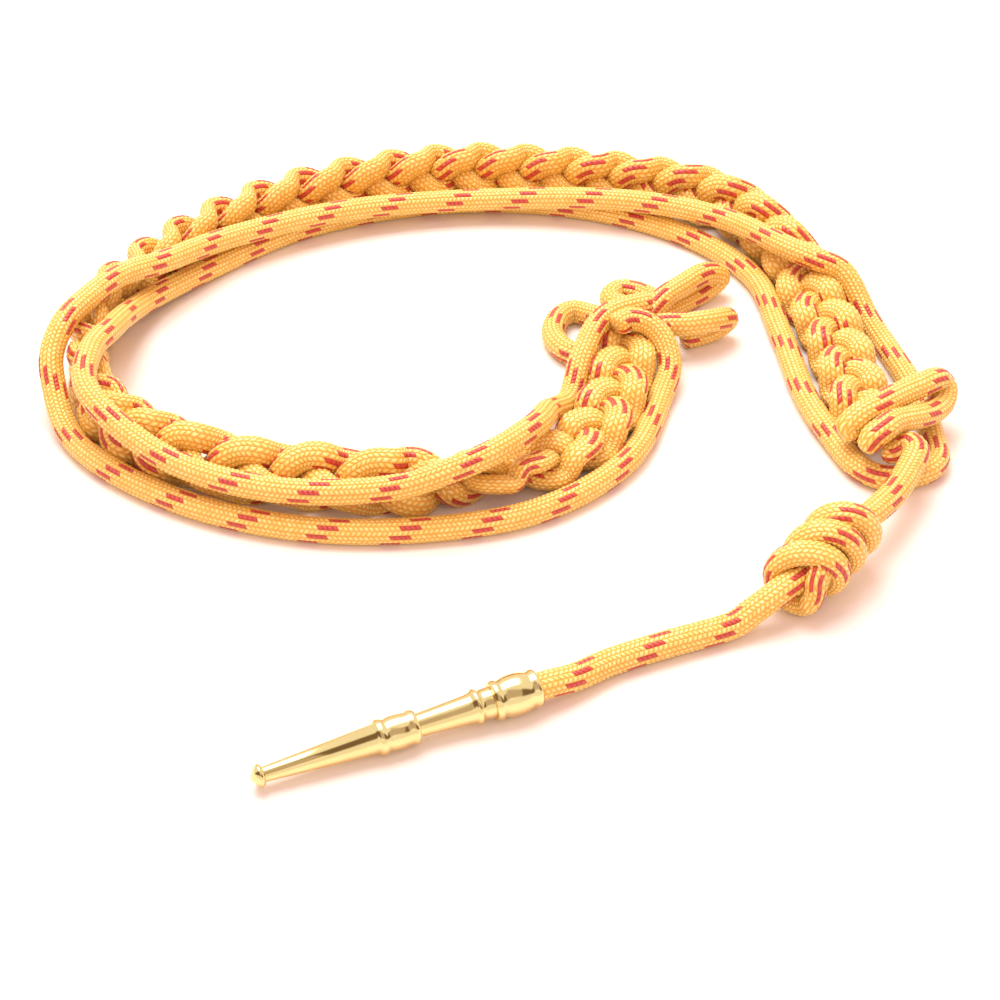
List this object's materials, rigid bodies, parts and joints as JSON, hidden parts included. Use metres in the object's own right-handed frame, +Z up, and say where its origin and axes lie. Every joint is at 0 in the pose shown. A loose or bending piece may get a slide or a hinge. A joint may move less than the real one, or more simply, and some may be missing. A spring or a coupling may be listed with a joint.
{
  "type": "aiguillette",
  "caption": "Shoulder cord: a three-strand plait and a plain cord bent into an open C, with end loops, a knotted pendant cord and a turned metal tip.",
  "frame": {"origin": "middle of the base of the box round the whole cord as it lies, on the surface that it lies on", "axes": "+Z up, +Y away from the pendant, towards the far side of the C, +X towards the end of the C with the pendant"},
  "size_m": [0.2399, 0.2515, 0.0227],
  "materials": {
    "cord": "woven tubular braid, yellow-gold with red tracer dashes",
    "tip": "polished"
  },
  "bodies": {
    "root": {"plait_strand_1": "cord", "plait_strand_2": "cord", "plait_strand_3": "cord", "side_cord": "cord", "pendant_cord": "cord", "barrel_knot": "cord", "button_loop": "cord", "round_loop": "cord", "small_loop": "cord", "upper_bight": "cord", "lower_bight": "cord", "tip_ferrule": "tip", "tip_stem": "tip", "tip_point": "tip"}
  },
  "joints": []
}
